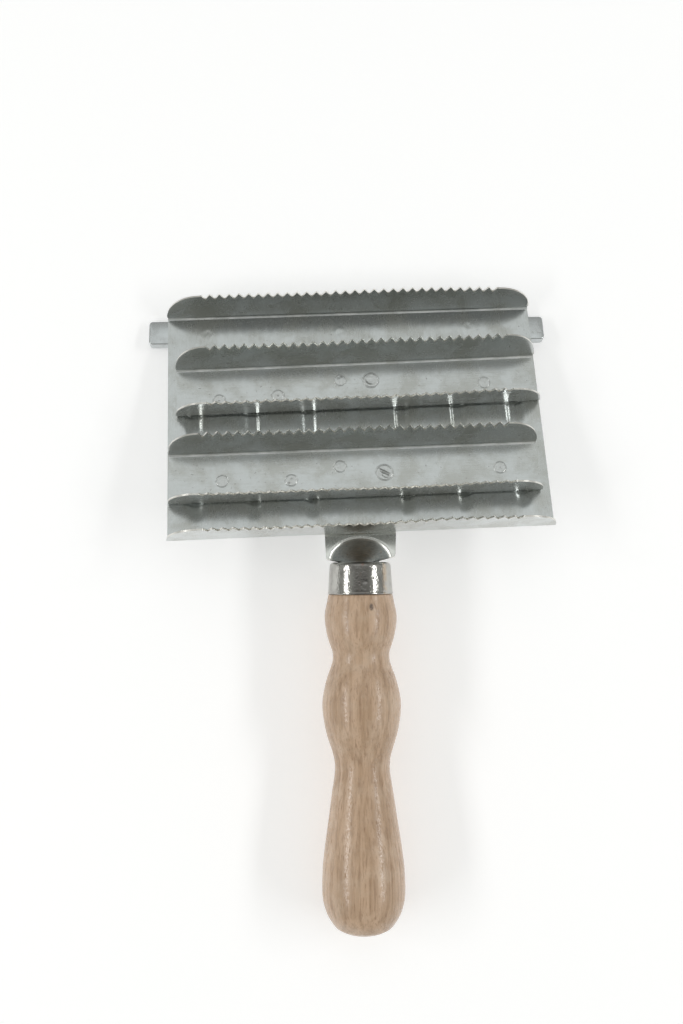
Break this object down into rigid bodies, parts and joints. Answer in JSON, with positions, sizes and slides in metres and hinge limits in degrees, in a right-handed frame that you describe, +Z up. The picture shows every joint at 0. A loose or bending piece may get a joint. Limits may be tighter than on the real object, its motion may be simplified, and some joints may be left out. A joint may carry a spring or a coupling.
{
  "type": "curry comb",
  "caption": "Metal curry comb: a plate with toothed rows in folded channels, a knocker bar with end lugs, a tang bracket, a ferrule and a turned wooden handle.",
  "frame": {"origin": "on the floor under the middle of the whole comb's box", "axes": "+Z up, +Y from the handle towards the head's far edge, +X to the right when the handle points at the viewer; the comb lies teeth up on its knocker bar and its butt"},
  "size_m": [0.1368, 0.2084, 0.0343],
  "materials": {
    "tinned_steel": "bright tinned sheet with fine rolling lines and light mottling",
    "bar_steel": "tinned flat bar, slightly duller than the sheet",
    "bracket_steel": "bright tinned sheet, polished where it was pressed",
    "rivet_steel": "plain bright rivets with a dark ring round the head",
    "nickel": "nickelled, glossy, with fine speckle",
    "beech": "pale turned beech under thin clear lacquer"
  },
  "bodies": {
    "root": {"back_plate": "tinned_steel", "upper_tooth_channel": "tinned_steel", "lower_tooth_channel": "tinned_steel", "knocker_bar": "bar_steel", "tang_bracket": "bracket_steel", "ferrule": "nickel", "handle": "beech", "upper_rivet_1": "rivet_steel", "upper_rivet_2": "rivet_steel", "upper_rivet_3": "rivet_steel", "upper_rivet_4": "rivet_steel", "upper_rivet_5": "rivet_steel", "lower_rivet_1": "rivet_steel", "lower_rivet_2": "rivet_steel", "lower_rivet_3": "rivet_steel", "lower_rivet_4": "rivet_steel", "lower_rivet_5": "rivet_steel"}
  },
  "joints": []
}
